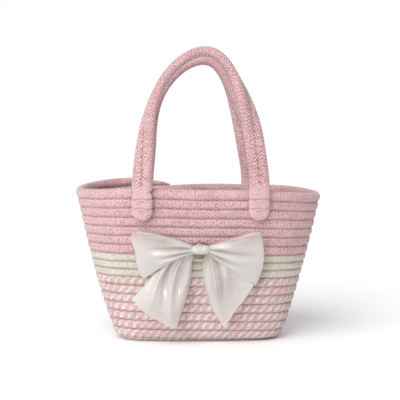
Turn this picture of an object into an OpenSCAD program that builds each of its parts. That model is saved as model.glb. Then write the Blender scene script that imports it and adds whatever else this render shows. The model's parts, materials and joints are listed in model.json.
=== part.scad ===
// Small coiled cotton rope basket with two soft rope handles, a magnetic snap and a ribbon bow.
// Millimetres, +Z up, front towards -Y, origin on the table under the middle of the basket.

/* [Basket] */
// Outer length of the rim, left to right
rim_length = 244; // [236:1:252]
// Outer width of the rim, front to back
rim_width = 142; // [136:1:148]
// Outer length where the wall meets the table
base_length = 166; // [164:1:172]

/* [Rope] */
// Diameter of the pink rope
pink_d = 9.5; // [9.3:0.05:9.7]
// Height that one course of pink rope adds to the wall
pink_pitch = 8.95; // [8.8:0.05:9.05]
// Diameter of the cream rope
cream_d = 8.2; // [8.1:0.05:8.4]
// Height that one course of cream rope adds to the wall
cream_pitch = 7.6; // [7.5:0.05:7.7]
// Diameter of the two-colour rope
mixed_d = 9.5; // [9.3:0.05:9.6]
// Height that one course of two-colour rope adds to the wall
mixed_pitch = 8.95; // [8.8:0.05:9.05]
// Diameter of the sewing thread
thread_d = 0.8; // [0.5:0.1:0.9]

/* [Handles] */
// Half the distance between the front handle's two legs
front_half_span = 54.8; // [52:0.2:57]
// Half the distance between the back handle's two legs
back_half_span = 56.8; // [52:0.2:58]
// Rise of the front handle's centre line above its hinge
front_rise = 129; // [110:1:150]
// Rise of the back handle's centre line above its hinge
back_rise = 133; // [110:1:150]
// Diameter of each of the two strands in a handle
strand_d = 9.1; // [8.4:0.1:9.2]
// How far the top of the front handle leans to the right
front_skew = 4; // [0:0.5:8]
// How far the top of the back handle leans to the right
back_skew = 7; // [0:0.5:8]
// How far the top of the front handle leans back over the basket
front_lean = 6; // [0:1:10]
// How far the top of the back handle leans away from the basket
back_lean = 16; // [0:1:24]
// Length of the doubled rope end sewn to the wall
tab_length = 23; // [20:0.5:24]

/* [Snap] */
// Diameter of the snap's caps and halves
snap_d = 17; // [14:0.5:17]
// Height of the snap's centre above the table
snap_z = 94.6; // [94:0.2:96]

/* [Bow] */
// Width of the knot
knot_width = 19; // [16:0.5:20]
// Height of the knot
knot_height = 10.5; // [8:0.5:12]
// Reach of a loop from the middle of the knot
loop_reach = 62; // [54:1:64]
// Half the height of a loop at its open end
loop_half_height = 22; // [18:1:24]
// Length of a tail from the knot to its cut end
tail_length = 66; // [56:1:68]

/* [Hidden] */

pink = [0.93, 0.70, 0.73];
cream = [0.93, 0.89, 0.80];
mixed = [0.95, 0.82, 0.84];
brass = [0.50, 0.45, 0.30];
steel = [0.70, 0.70, 0.70];
satin = [0.94, 0.93, 0.92];

gap = 0.3;                      // clearance between pieces that only lie against each other

// ---- The oval ----

// Every course is an oval of four tangent arcs. All the courses share their arc centres, so a
// course is known by one number: the radius of its end arcs.
mixed_count = 7;
cream_count = 3;
pink_count = 7;
course_count = mixed_count + cream_count + pink_count;
foot_z = 3.95;                  // bottom of the lowest wall course
cream_z = foot_z + mixed_count * mixed_pitch;
pink_z = cream_z + cream_count * cream_pitch;
rim_z = pink_z + pink_count * pink_pitch;

bulge = 3;                      // how far the long sides bow out
end_x = (rim_length - rim_width) / 2 + bulge;
side_k = (end_x * end_x - bulge * bulge) / (2 * bulge);
end_half = atan2(side_k, end_x);

// End radius of the rope's centre line at height z.
rim_mid = rim_width / 2 - bulge - pink_d / 2;
foot_mid = base_length / 2 - end_x - mixed_d / 2;
slope = (rim_mid - foot_mid) / (rim_z - pink_pitch / 2);
tuck = 3;                       // how far the wall pulls in at the table
tuck_z = 9;                     // height over which the pull fades away
function mid(z) = foot_mid + slope * z - tuck * exp(-z / tuck_z);
function tilt(z) = atan((mid(z + 1) - mid(z - 1)) / 2);
wall_tilt = atan(slope);

function is_mixed(i) = i < mixed_count;
function is_cream(i) = i >= mixed_count && i < mixed_count + cream_count;
function course_d(i) = is_mixed(i) ? mixed_d : is_cream(i) ? cream_d : pink_d;
function pitch(i) = is_mixed(i) ? mixed_pitch : is_cream(i) ? cream_pitch : pink_pitch;
function course_bottom(i) = i == 0 ? foot_z : course_bottom(i - 1) + pitch(i - 1);
function course_z(i) = course_bottom(i) + pitch(i) / 2;

// Distance from the middle to the front of an oval of end radius r, at x.
function front_depth(r, x) = let (k = side_k) sqrt(pow(k + bulge + r, 2) - x * x) - k;

// Sweeps a flat profile round the oval. The profile's X is the end radius, its Y is the height.
// The second child is the same profile a hair fatter; it closes the joints between the arcs.
joint_half = 0.5;
end_trim = 0.15;                // degrees left open at each joint, inside the closing piece
side_trim = 0.02;
module oval_sweep() {
    for (side = [0, 180])
        rotate([0, 0, side]) {
            translate([end_x, 0, 0])
                rotate([0, 0, -end_half + end_trim])
                    rotate_extrude(angle = 2 * (end_half - end_trim), $fn = 96)
                        children(0);
            translate([0, -side_k, 0])
                rotate([0, 0, end_half + side_trim])
                    rotate_extrude(angle = 180 - 2 * (end_half + side_trim), $fn = 480)
                        translate([side_k + bulge, 0])
                            children(0);
            for (end = [-1, 1])
                translate([end_x, 0, 0])
                    rotate([90, 0, end * end_half])
                        translate([0, 0, -joint_half])
                            linear_extrude(2 * joint_half)
                                children(1);
        }
}

// ---- Wall and base ----

fatter = 0.08;

// Courses first to last as overlapping circles, pressed flat against the next rope's courses.
module wall_profile(first, last, extra = 0) {
    intersection() {
        for (i = [first:last])
            translate([mid(course_z(i)), course_z(i)])
                circle(d = course_d(i) + extra, $fn = 40);
        if (first > 0 && last < course_count - 1)
            flat_limits(course_bottom(first) + 0.1, course_bottom(last + 1) - 0.1);
        else if (last < course_count - 1)
            flat_limits(0, course_bottom(last + 1) - 0.1);
        else
            flat_limits(course_bottom(first) + 0.1, rim_z + pink_d);
    }
}

module flat_limits(low, high) {
    translate([0, low]) square([rim_width, high - low]);
}

module wall(first, last) {
    oval_sweep() {
        wall_profile(first, last);
        wall_profile(first, last, fatter);
    }
}

module mixed_rope_wall() {
    color(mixed) wall(0, mixed_count - 1);
}

module cream_rope_wall() {
    color(cream) wall(mixed_count, mixed_count + cream_count - 1);
}

module pink_rope_wall() {
    color(pink)
        difference() {
            wall(mixed_count + cream_count, course_count - 1);
            snap_holes();
        }
}

// The flat coil under the basket: a straight core, rings round it and a thin web between them.
base_rings = 2;
base_d = 8.9;
base_pitch = 8.3;
base_rope_z = 3.75;             // low enough that each ring is pressed flat by the table
web_low = 2.2;
web_high = 5.2;

module base_profile(extra = 0) {
    intersection() {
        union() {
            for (k = [1:base_rings])
                translate([k * base_pitch, base_rope_z])
                    circle(d = base_d + extra, $fn = 40);
            translate([0, web_low - extra / 2])
                square([base_rings * base_pitch, web_high - web_low + extra]);
        }
        flat_limits(0, base_d * 2);
    }
}

module base_coil() {
    color(mixed) {
        oval_sweep() {
            base_profile();
            base_profile(fatter);
        }
        difference() {
            translate([-end_x, 0, base_rope_z])
                rotate([0, 90, 0])
                    cylinder(d = base_d, h = 2 * end_x, $fn = 40);
            translate([-end_x - 1, -base_d, -base_d])
                cube([2 * end_x + 2, 2 * base_d, base_d]);
        }
    }
}

// One ring of sewing thread in the outer groove above every course but the last.
groove = 2.65;                  // from the courses' centre line out to the thread

module thread_profile(extra = 0) {
    for (i = [1:course_count - 1]) {
        z = course_bottom(i);
        translate([mid(z) + groove * cos(tilt(z)), z - groove * sin(tilt(z))])
            circle(d = thread_d + extra, $fn = 12);
    }
}

module seam_thread() {
    color(pink)
        oval_sweep() {
            thread_profile();
            thread_profile(fatter);
        }
}

// ---- Handles ----

strand_gap = 0.2;
strand_step = strand_d + strand_gap;
hinge_z = rim_z - 1.1;
hinge_clearance = 2.5;          // between a tab's end and the rounded end of the leg above it
tab_top_z = hinge_z - strand_d / 2 - hinge_clearance;

// The turn and the depth of a leg that lies on the curved wall, half a span from the middle.
function leg_angle(span) = asin(span / (side_k + bulge + rim_mid));
function leg_y(span) =
    front_depth(rim_mid, span) + (pink_d / 2 + strand_d / 2 + gap) / cos(leg_angle(span));

// An arch is [half span, rise, lean to the back, lean to the right, shoulder]. Its shoulder is how
// much wider than an ellipse it is halfway up.
front_arch = [front_half_span, front_rise, front_lean, front_skew, 0.045];
back_arch = [back_half_span, back_rise, -back_lean, back_skew, 0.01];
arch_steps = 44;
ring_sides = 10;
thread_sides = 5;
leg_draw_in = 0.035;            // how much narrower than an ellipse the arch is above its roots

function smooth(x) = let (t = min(1, max(0, x))) t * t * (3 - 2 * t);

// Centre line of an arch at angle t, from the right leg at 0 to the left leg at 180.
function arch_width(t, shoulder) =
    1 - leg_draw_in * smooth(sin(t) / 0.35) + shoulder * pow(sin(2 * t), 2);
function arch_point(t, arch) = [
    arch[0] * cos(t) * arch_width(t, arch[4]) + arch[3] * pow(sin(t), 6),
    -leg_y(arch[0]) + arch[2] * pow(sin(t), 2),
    hinge_z + arch[1] * sin(t)];

// Unit vector in the arch's plane, square to its line and pointing out of the arch.
function arch_out(t, arch) =
    let (v = [arch[1] * cos(t), 0, arch[0] * sin(t)]) v / norm(v);

// The band starts flat on the wall and turns on edge towards the top of the arch. The right leg
// turns later than the left one.
twist_from = 18;
twist_to = 112;
twist_delay = 14;
function band_turn(t, arch) =
    let (flat = leg_angle(arch[0]), height = arch[1] * sin(t) - twist_delay * cos(t))
    flat + (90 - flat) * smooth((height - twist_from) / (twist_to - twist_from));
function band_width_dir(t, arch) =
    let (turn = band_turn(t, arch)) cos(turn) * arch_out(t, arch) + sin(turn) * [0, 1, 0];
function band_face_dir(t, arch) =
    let (turn = band_turn(t, arch)) sin(turn) * arch_out(t, arch) - cos(turn) * [0, 1, 0];

function circle_ring(centre, u, v, r, sides) =
    [for (i = [0:sides - 1]) let (a = 360 * i / sides) centre + r * (cos(a) * u + sin(a) * v)];

// Rings along one strand, or along the thread between the strands, with round ends.
function strand_rings(across, up, r, sides, arch) = concat(
    [for (a = [80, 55, 28]) strand_ring(0, across, up, r * cos(a), -r * sin(a), sides, arch)],
    [for (i = [0:arch_steps]) strand_ring(180 * i / arch_steps, across, up, r, 0, sides, arch)],
    [for (a = [28, 55, 80]) strand_ring(180, across, up, r * cos(a), -r * sin(a), sides, arch)]);
function strand_ring(t, across, up, r, drop, sides, arch) = circle_ring(
    arch_point(t, arch) + across * band_width_dir(t, arch) + up * band_face_dir(t, arch) + [0, 0, drop],
    arch_out(t, arch), [0, 1, 0], r, sides);

// A closed skin over a list of rings that all have the same number of points.
module loft(rings) {
    n = len(rings[0]);
    last = len(rings) - 1;
    points = [for (ring = rings) each ring];
    sides = [for (k = [0:last - 1], i = [0:n - 1])
        let (a = k * n + i, b = k * n + (i + 1) % n)
        each [[a, b, b + n], [a, b + n, a + n]]];
    low_cap = [for (i = [n - 1:-1:0]) i];
    high_cap = [for (i = [0:n - 1]) last * n + i];
    polyhedron(points, concat(sides, [low_cap, high_cap]), convexity = 6);
}

module handle_strand(side, arch) {
    color(pink) loft(strand_rings(side * strand_step / 2, 0, strand_d / 2, ring_sides, arch));
}

// The thread lies in the groove between the strands, on the band's outer face.
thread_up = 2.15;

module handle_thread(arch) {
    color(pink) loft(strand_rings(0, thread_up, thread_d / 2, thread_sides, arch));
}

module to_back() {
    mirror([0, 1, 0]) children();
}

// ---- Tabs: the doubled rope ends that are sewn to the wall ----

stitch_drop = [tab_top_z - (rim_z - pink_pitch), tab_top_z - (rim_z - 2 * pink_pitch)];
stitch_rise = 0.35;             // how far the thread stands proud of the strands

// Puts a piece of a right front tab, drawn in its own upright frame, on the wall.
module on_wall(span) {
    off = (pink_d / 2 + strand_d / 2 + gap) / cos(wall_tilt);
    tab_y = front_depth(mid(tab_top_z), span) + off / cos(leg_angle(span));
    translate([span, -tab_y, tab_top_z])
        rotate([0, 0, leg_angle(span)])
            rotate([wall_tilt, 0, 0])
                children();
}

module stitch_bar(drop, d) {
    translate([-strand_step / 2, -strand_d / 2 + d / 2 - stitch_rise, -drop])
        rotate([0, 90, 0])
            cylinder(d = d, h = strand_step, $fn = 24);
}

module tab() {
    straight = tab_length - strand_step / 2 - strand_d / 2;
    difference() {
        union() {
            for (side = [-1, 1])
                translate([side * strand_step / 2, 0, -straight])
                    cylinder(d = strand_d, h = straight, $fn = 40);
            translate([0, 0, -straight])
                rotate([90, 0, 0])
                    rotate([0, 0, 180])
                        rotate_extrude(angle = 180, $fn = 64)
                            translate([strand_step / 2, 0])
                                circle(d = strand_d, $fn = 40);
        }
        for (drop = stitch_drop)
            stitch_bar(drop, thread_d + 0.1);
    }
}

function tab_span(front) = front ? front_half_span : back_half_span;

module tab_at(right, front) {
    color(pink) to_corner(right, front) on_wall(tab_span(front)) tab();
}

module tab_stitches() {
    color(pink)
        for (right = [false, true], front = [false, true])
            to_corner(right, front)
                on_wall(tab_span(front))
                    for (drop = stitch_drop)
                        stitch_bar(drop, thread_d);
}

// Mirrors a piece drawn at the right front corner to one of the four.
module to_corner(right, front) {
    mirror([right ? 0 : 1, 0, 0])
        mirror([0, front ? 0 : 1, 0])
            children();
}

// ---- Magnetic snap ----

shank_d = 4;
cap_h = 2.2;
flange_h = 0.9;
half_h = 4.2;                   // thickness of the socket half
stud_h = 1.6;                   // thickness of the stud half's plate
boss_d = 10;
boss_h = 2;
magnet_h = 1.8;
wall_face = pink_d / 2 + gap;   // from the wall's middle to whatever lies flat on it

// Lays a piece drawn along +Z on the front wall, at a distance out from the wall's middle.
module on_front(out) {
    translate([0, -bulge - mid(snap_z), snap_z])
        rotate([90 + wall_tilt, 0, 0])
            translate([0, 0, out])
                children();
}

module snap_holes() {
    for (back = [0, 1])
        mirror([0, back, 0])
            on_front(-pink_d)
                cylinder(d = shank_d + 0.3, h = 2 * pink_d, $fn = 32);
}

// Domed cap outside the wall, with a tubular shank through the rope.
module snap_cap() {
    color(brass)
        on_front(wall_face) {
            cylinder(d = snap_d, h = flange_h, $fn = 64);
            rotate_extrude($fn = 64)
                intersection() {
                    translate([0, flange_h + cap_h - dome_r])
                        circle(r = dome_r, $fn = 128);
                    translate([0, flange_h])
                        square([snap_d / 2 - 0.8, cap_h]);
                }
            translate([0, 0, -2 * wall_face])
                cylinder(d = shank_d, h = 2 * wall_face, $fn = 32);
        }
}

dome_edge = snap_d / 2 - 0.8;
dome_r = (dome_edge * dome_edge + cap_h * cap_h) / (2 * cap_h);

// Inner half on the front wall: a cup with a recess for the stud's boss.
module snap_socket() {
    color(steel)
        on_front(-wall_face)
            difference() {
                translate([0, 0, -half_h]) cylinder(d = snap_d, h = half_h, $fn = 64);
                translate([0, 0, -half_h - 0.1]) cylinder(d = boss_d + 0.6, h = boss_h + 0.3, $fn = 64);
                translate([0, 0, -magnet_h - 0.1]) magnet_space();
            }
}

module magnet_space() {
    difference() {
        cylinder(d = snap_d - 2, h = magnet_h + 0.2, $fn = 64);
        translate([0, 0, -0.1]) cylinder(d = shank_d + 2, h = magnet_h + 0.4, $fn = 32);
    }
}

module snap_magnet() {
    color([0.25, 0.25, 0.27])
        on_front(-wall_face)
            translate([0, 0, -magnet_h])
                difference() {
                    cylinder(d = snap_d - 2.2, h = magnet_h - 0.1, $fn = 64);
                    translate([0, 0, -0.1]) cylinder(d = shank_d + 2.2, h = magnet_h + 0.2, $fn = 32);
                }
}

// Inner half on the back wall: a plate with the boss that enters the socket.
module snap_stud() {
    color(steel)
        to_back()
            on_front(-wall_face) {
                translate([0, 0, -stud_h]) cylinder(d = snap_d, h = stud_h, $fn = 64);
                translate([0, 0, -stud_h - boss_h]) cylinder(d = boss_d, h = boss_h + 0.1, $fn = 64);
            }
}

// ---- Bow ----

knot_depth = 9;
bow_clear = 1.6;                // between the snap's cap and the back of the knot
bow_lift = 3;                   // how much higher than the snap the knot sits, along the wall
bow_out = wall_face + flange_h + cap_h + bow_clear + knot_depth - knot_height / 2;
fabric_sides = 14;

// The bow is drawn upright about the middle of its knot and lies parallel to the front wall.
module on_bow() {
    on_front(bow_out) translate([0, bow_lift, 0]) rotate([-90, 0, 0]) children();
}

function flat_ring(centre, along, thick, half_width, half_thick) =
    [for (i = [0:fabric_sides - 1])
        let (a = 360 * i / fabric_sides)
        centre + half_width * cos(a) * along + half_thick * sin(a) * thick];

// A band wrapped round the gathered ribbon, flattened at the back.
module bow_knot() {
    color(satin)
        on_bow()
            difference() {
                rotate([0, 90, 0])
                    cylinder(d = knot_height, h = knot_width, center = true, $fn = 64);
                translate([-knot_width, knot_depth - knot_height / 2, -knot_height])
                    cube([2 * knot_width, knot_height, 2 * knot_height]);
            }
}

// A puffed loop from the knot out to its folded end. side is 1 for the right loop.
module bow_loop(side, tip_z) {
    root = knot_width / 2 + gap;
    rings = [for (i = [0:9])
        let (s = i / 9)
        flat_ring(
            [side * (root + s * (loop_reach - root)), 3.5 * s * s, tip_z * s],
            [0, 0, 1],
            [0, 1, 0],
            3.6 + (loop_half_height - 3.6) * pow(s, 0.8),
            3 + 4 * sin(150 * s))];
    color(satin) on_bow() loft(rings);
}

// A single layer of ribbon that hangs from behind the knot and widens to a slanted end.
module bow_tail(side, swing) {
    along = [side * sin(swing), 0, -cos(swing)];
    across = [cos(swing), 0, side * sin(swing)];
    rings = [for (i = [0:8])
        let (s = i / 8)
        flat_ring(
            [side * 6, 1.5, -knot_height / 2 - 3.4] + tail_length * s * along,
            across,
            [0, 1, 0],
            2.8 + 18.5 * pow(s, 0.8),
            1.7 + 0.9 * sin(180 * s))];
    color(satin) on_bow() loft(rings);
}

// Short stitches that hold the knot to the rope beside the snap's cap.
module bow_tie_thread() {
    color(satin)
        for (side = [-1, 1], row = [-1, 1])
            on_front(wall_face)
                translate([side * (knot_width - thread_d) / 2, row * 2, 0])
                    cylinder(d = thread_d, h = bow_clear + flange_h + cap_h - gap / 2, $fn = 20);
}

base_coil();
mixed_rope_wall();
cream_rope_wall();
pink_rope_wall();
seam_thread();
tab_at(false, true);  // front_left_tab
tab_at(true, true);  // front_right_tab
tab_at(false, false);  // back_left_tab
tab_at(true, false);  // back_right_tab
tab_stitches();
handle_strand(-1, front_arch);  // front_handle_inner_strand
handle_strand(1, front_arch);  // front_handle_outer_strand
handle_thread(front_arch);  // front_handle_thread
to_back() handle_strand(-1, back_arch);  // back_handle_inner_strand
to_back() handle_strand(1, back_arch);  // back_handle_outer_strand
to_back() handle_thread(back_arch);  // back_handle_thread
snap_cap();  // front_snap_cap
snap_socket();  // front_snap_socket
snap_magnet();
to_back() snap_cap();  // back_snap_cap
snap_stud();  // back_snap_stud
bow_knot();
bow_loop(-1, -4);  // bow_left_loop
bow_loop(1, -7);  // bow_right_loop
bow_tail(-1, 34);  // bow_left_tail
bow_tail(1, 24);  // bow_right_tail
bow_tie_thread();
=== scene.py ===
import json
import math

import bmesh
import bpy
import numpy as np
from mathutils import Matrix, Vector


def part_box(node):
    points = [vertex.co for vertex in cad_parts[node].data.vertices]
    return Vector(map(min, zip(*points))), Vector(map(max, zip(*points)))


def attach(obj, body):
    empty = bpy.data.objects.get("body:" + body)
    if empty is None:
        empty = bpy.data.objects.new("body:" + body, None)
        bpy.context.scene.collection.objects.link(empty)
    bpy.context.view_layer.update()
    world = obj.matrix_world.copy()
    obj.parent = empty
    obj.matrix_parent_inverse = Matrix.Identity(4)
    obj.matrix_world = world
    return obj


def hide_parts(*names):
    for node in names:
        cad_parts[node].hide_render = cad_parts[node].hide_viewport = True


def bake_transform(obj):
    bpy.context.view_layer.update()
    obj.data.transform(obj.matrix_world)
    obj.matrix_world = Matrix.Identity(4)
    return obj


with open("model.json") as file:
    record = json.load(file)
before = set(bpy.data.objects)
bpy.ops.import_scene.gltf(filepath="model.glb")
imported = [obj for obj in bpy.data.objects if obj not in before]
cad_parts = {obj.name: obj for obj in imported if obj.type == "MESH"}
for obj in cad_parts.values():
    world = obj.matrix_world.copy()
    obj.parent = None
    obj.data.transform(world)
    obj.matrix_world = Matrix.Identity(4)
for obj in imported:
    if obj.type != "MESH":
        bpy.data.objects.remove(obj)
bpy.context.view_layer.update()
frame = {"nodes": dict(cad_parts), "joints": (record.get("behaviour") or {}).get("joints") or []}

MM = 0.001


# ---- Sizes, from the frame ----


def corners(node):
    low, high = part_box(node)
    return np.array(low), np.array(high)


def joint_point(name):
    return np.array([j["pos_m"] for j in frame["joints"] if j["name"] == name][0])


_, MIXED_HIGH = corners("mixed_rope_wall")
CREAM_LOW, CREAM_HIGH = corners("cream_rope_wall")
PINK_LOW, PINK_HIGH = corners("pink_rope_wall")

PINK_COURSES = 7
CREAM_COURSES = 3
BULGE = 3 * MM  # how far the long sides bow out
CENTRE_X = PINK_HIGH[0] - PINK_HIGH[1] + BULGE  # middle of each rounded end

CREAM_Z = (MIXED_HIGH[2] + CREAM_LOW[2]) / 2
PINK_Z = (CREAM_HIGH[2] + PINK_LOW[2]) / 2
UNDER_CAD = 0.4 * MM  # how far the visual rim stays below the CAD's
RIM_Z = PINK_HIGH[2] - UNDER_CAD
SLOPE = (PINK_HIGH[1] - MIXED_HIGH[1]) / (PINK_HIGH[2] - MIXED_HIGH[2])
TILT = math.atan(SLOPE)
HALF_ROPE = (RIM_Z - PINK_Z) / PINK_COURSES / 2 / math.cos(TILT)
HALF_THICK = 0.98 * HALF_ROPE  # the rope is a little less thick than a course is high
FLOOR_Z = HALF_THICK
INSIDE_CAD = 1.05 * HALF_ROPE  # from the CAD's widest point to the rim rope's centre line
RIM_R = PINK_HIGH[1] - BULGE - INSIDE_CAD
RIM_ROPE_Z = RIM_Z - HALF_ROPE
CORNER = 10 * MM  # radius with which the base turns up into the wall


# ---- Lines of points ----


def smoothstep(x):
    t = np.clip(x, 0, 1)
    return t * t * (3 - 2 * t)


def soften(points, width):
    """Rounds a line of points by averaging it with its neighbours."""
    kernel = np.hanning(width)
    kernel /= kernel.sum()
    pad = width // 2
    padded = np.pad(points, ((pad, pad), (0, 0)), "edge")
    return np.stack([np.convolve(column, kernel, "valid") for column in padded.T], 1)


def distance_along(points):
    return np.concatenate([[0], np.cumsum(np.linalg.norm(np.diff(points, axis=0), axis=1))])


def at_distances(want, length, points):
    return np.stack([np.interp(want, length, column) for column in points.T], 1)


def resample(points, step, *others):
    """Distances a step apart along a line, and at each of them the line and what goes with it."""
    length = distance_along(points)
    want = np.linspace(0, length[-1], max(int(length[-1] / step), 4))
    return want, [at_distances(want, length, p) for p in (points, *others)]


def unit(vectors):
    return vectors / np.linalg.norm(vectors, axis=1)[:, None]


def bell(distance, spread):
    """1 at no distance, falling off on both sides."""
    return np.exp(-((distance / spread) ** 2))


# ---- The line that the rope is coiled along ----

# In a cut through the wall the rope's centres lie on the floor, a rounded corner and a sloping line.
CORNER_R = RIM_R - SLOPE * (RIM_ROPE_Z - FLOOR_Z)
CORNER_TURN = math.pi / 2 - TILT
FLOOR_RUN = CORNER_R - CORNER * math.tan(CORNER_TURN / 2)
CORNER_RUN = CORNER * CORNER_TURN
WALL_START_Z = FLOOR_Z + CORNER * (1 - math.cos(CORNER_TURN))


def run_at(z):
    """Distance along the cut from the middle of the floor to the wall at height z."""
    return FLOOR_RUN + CORNER_RUN + (z - WALL_START_Z) / math.cos(TILT)


def cut_point(run):
    """End radius, height and steepness of the cut after a distance along it."""
    turn = np.clip((run - FLOOR_RUN) / CORNER, 0, CORNER_TURN)
    flat = np.minimum(run, FLOOR_RUN)
    steep = np.maximum(run - FLOOR_RUN - CORNER_RUN, 0)
    radius = flat + CORNER * np.sin(turn) + steep * math.sin(TILT)
    height = FLOOR_Z + CORNER * (1 - np.cos(turn)) + steep * math.cos(TILT)
    return radius, height, turn


RUN_CREAM = run_at(CREAM_Z)
RUN_PINK = run_at(PINK_Z)
RUN_RIM = run_at(RIM_Z)
ROPE_STEP = (RUN_RIM - RUN_PINK) / PINK_COURSES
CREAM_STEP = (RUN_PINK - RUN_CREAM) / CREAM_COURSES
START_GAP = 0.1  # share of a course between the coil's start and the middle of the floor
FIRST_TURN = -(RUN_CREAM - START_GAP * ROPE_STEP) / ROPE_STEP
LAST_TURN = CREAM_COURSES + PINK_COURSES
JOIN_ANGLE = math.radians(94)  # where each colour starts, at the back behind the left leg
RIM_TAIL = 0.058  # share of a turn on which the rim's rope tapers off along the back wall
END_TURN = LAST_TURN + RIM_TAIL
MEAN_R = 0.7 * RIM_R  # end radius along which turns are measured out
OVAL = 4 * CENTRE_X + 2 * MEAN_R * math.pi
JOIN_RUN = MEAN_R * (JOIN_ANGLE - math.pi / 2)
FRONT_PHASE = (JOIN_RUN + 3 * CENTRE_X + MEAN_R * math.pi) / OVAL  # share of a turn to the front's middle
FULL_BOW_R = 16 * MM  # from this end radius on, the long sides bow out fully
TURN_SAMPLES = 900  # points to a turn before the rope is given its even steps
TURN_SOFTENING = 27  # of them are averaged where a rounded end meets a long side


def run_of(turn):
    """Distance along the cut of the rope's centre, after that many turns from the first cream one."""
    t = turn - FRONT_PHASE + 0.5
    low = RUN_CREAM + np.minimum(t, 0) * ROPE_STEP
    mid = np.clip(t, 0, CREAM_COURSES) * CREAM_STEP
    top = np.maximum(t - CREAM_COURSES, 0) * ROPE_STEP
    return np.maximum(low + mid + top, 0)


def oval_point(turn, radius):
    """Points on the oval, going round clockwise seen from above, one turn to a whole number."""
    side = 2 * CENTRE_X
    end = MEAN_R * math.pi
    run = (turn % 1.0) * OVAL
    bow = BULGE * np.clip(radius / FULL_BOW_R, 0, 1)
    angle = JOIN_ANGLE - run / MEAN_R
    x = -CENTRE_X + radius * np.cos(angle)
    y = radius * np.sin(angle)
    along = run - JOIN_RUN
    # The long back side and the right end, then the long front side and the left end
    for facing in (1, -1):
        across = facing * (along - CENTRE_X)
        lift = radius + bow * (1 - (across / CENTRE_X) ** 2)
        x = np.where(along >= 0, across, x)
        y = np.where(along >= 0, facing * lift, y)
        along = along - side
        angle = (1 - facing / 2) * math.pi - along / MEAN_R
        x = np.where(along >= 0, facing * CENTRE_X + radius * np.cos(angle), x)
        y = np.where(along >= 0, radius * np.sin(angle), y)
        along = along - end
    return x, y


# How far the soft wall has moved from its ideal shape, mostly at the rim
END_SAG = 3.2 * MM
BACK_RISE = 3.4 * MM
RIGHT_SAG = 1.2 * MM
ROW_WAVE = 0.45 * MM  # up and down
WALL_WAVE = 0.5 * MM  # in and out
LEFT_BELLY = 3.4 * MM
RIGHT_BELLY = 1.8 * MM
BELLY_FROM = 40 * MM  # distance from the middle at which the bellies start
BELLY_GROWS = 45 * MM


def settle(x, y, z):
    """How far up and out a point of the wall has moved. Waves turn by radians to the metre."""
    share = np.clip(z / RIM_Z, 0, 1.1) ** 2
    to_end = x / PINK_HIGH[0]
    sag = -END_SAG * share * np.abs(to_end) ** 3
    back = BACK_RISE * share * np.clip(y / RIM_R, -0.2, 1)
    right = -RIGHT_SAG * share * np.clip(to_end, 0, 1) ** 2
    wave = ROW_WAVE * share * np.sin(x * 61 + np.sign(y) * 1.3)
    push = WALL_WAVE * share * np.sin(x * 47 + z * 38)
    far = np.clip((np.abs(x) - BELLY_FROM) / BELLY_GROWS, 0, 1) ** 2
    high = np.clip(z / RIM_Z, 0, 1)
    belly = np.where(x < 0, LEFT_BELLY, RIGHT_BELLY) * far * np.sin(math.pi * high**0.9) ** 1.2
    return sag + back + right + wave, push + belly


def coil(from_turn, to_turn, step):
    """Points along the rope a fixed distance apart, with the wall's outward and upward directions."""
    turns = np.linspace(from_turn, to_turn, int(abs(to_turn - from_turn) * TURN_SAMPLES) + 2)
    radius, height, steep = cut_point(run_of(turns))
    x, y = soften(np.stack(oval_point(turns, radius), 1), TURN_SOFTENING).T
    length = np.concatenate([[0], np.cumsum(np.hypot(np.diff(x), np.diff(y)))])
    count = max(int(length[-1] / step), 8)
    want = np.linspace(0, length[-1], count)
    turn = np.interp(want, length, turns)
    x = np.interp(want, length, x)
    y = np.interp(want, length, y)
    height = np.interp(want, length, height)
    steep = np.interp(want, length, steep)
    tx = np.gradient(x)
    ty = np.gradient(y)
    size = np.hypot(tx, ty) + 1e-12
    nx, ny = -ty / size, tx / size
    drop, push = settle(x, y, height)
    out = np.stack([nx * np.sin(steep), ny * np.sin(steep), -np.cos(steep)], 1)
    up = np.stack([nx * np.cos(steep), ny * np.cos(steep), np.sin(steep)], 1)
    centre = np.stack([x + nx * push, y + ny * push, height + drop], 1)
    half = (run_of(turn + 0.5) - run_of(turn - 0.5)) / 2
    return {"turn": turn, "length": want, "centre": centre, "out": out, "up": up, "half": half}


# ---- Meshes ----


def new_mesh(name, points, quads, uv=None, values=None):
    """A smooth mesh. uv holds each quad's four corners in turn, and values each point's attributes."""
    mesh = bpy.data.meshes.new(name)
    points = np.asarray(points, np.float32).reshape(-1, 3)
    quads = np.asarray(quads, np.int32)
    mesh.vertices.add(len(points))
    mesh.vertices.foreach_set("co", points.ravel())
    mesh.loops.add(quads.size)
    mesh.loops.foreach_set("vertex_index", quads.ravel())
    mesh.polygons.add(len(quads))
    starts = np.arange(0, quads.size, quads.shape[1], dtype=np.int32)
    mesh.polygons.foreach_set("loop_start", starts)
    mesh.polygons.foreach_set("use_smooth", np.ones(len(quads), bool))
    mesh.update(calc_edges=True)
    mesh.validate()
    if uv is not None:
        layer = mesh.uv_layers.new(name="rope")
        layer.data.foreach_set("uv", np.asarray(uv, np.float32).ravel())
    for key, value in (values or {}).items():
        attribute = mesh.attributes.new(key, "FLOAT", "POINT")
        attribute.data.foreach_set("value", np.asarray(value, np.float32).ravel())
    obj = bpy.data.objects.new(name, mesh)
    bpy.context.scene.collection.objects.link(obj)
    return obj


def tube_faces(rows, sides, closed):
    """Quads and UV coordinates of a tube of rings; the last side joins the first."""
    last = rows if closed else rows - 1
    i, j = np.meshgrid(np.arange(last), np.arange(sides), indexing="ij")
    k = (j + 1) % sides
    n = (i + 1) % rows
    quads = np.stack([i * sides + j, i * sides + k, n * sides + k, n * sides + j], -1)
    return quads.reshape(-1, 4), i, j


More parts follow.
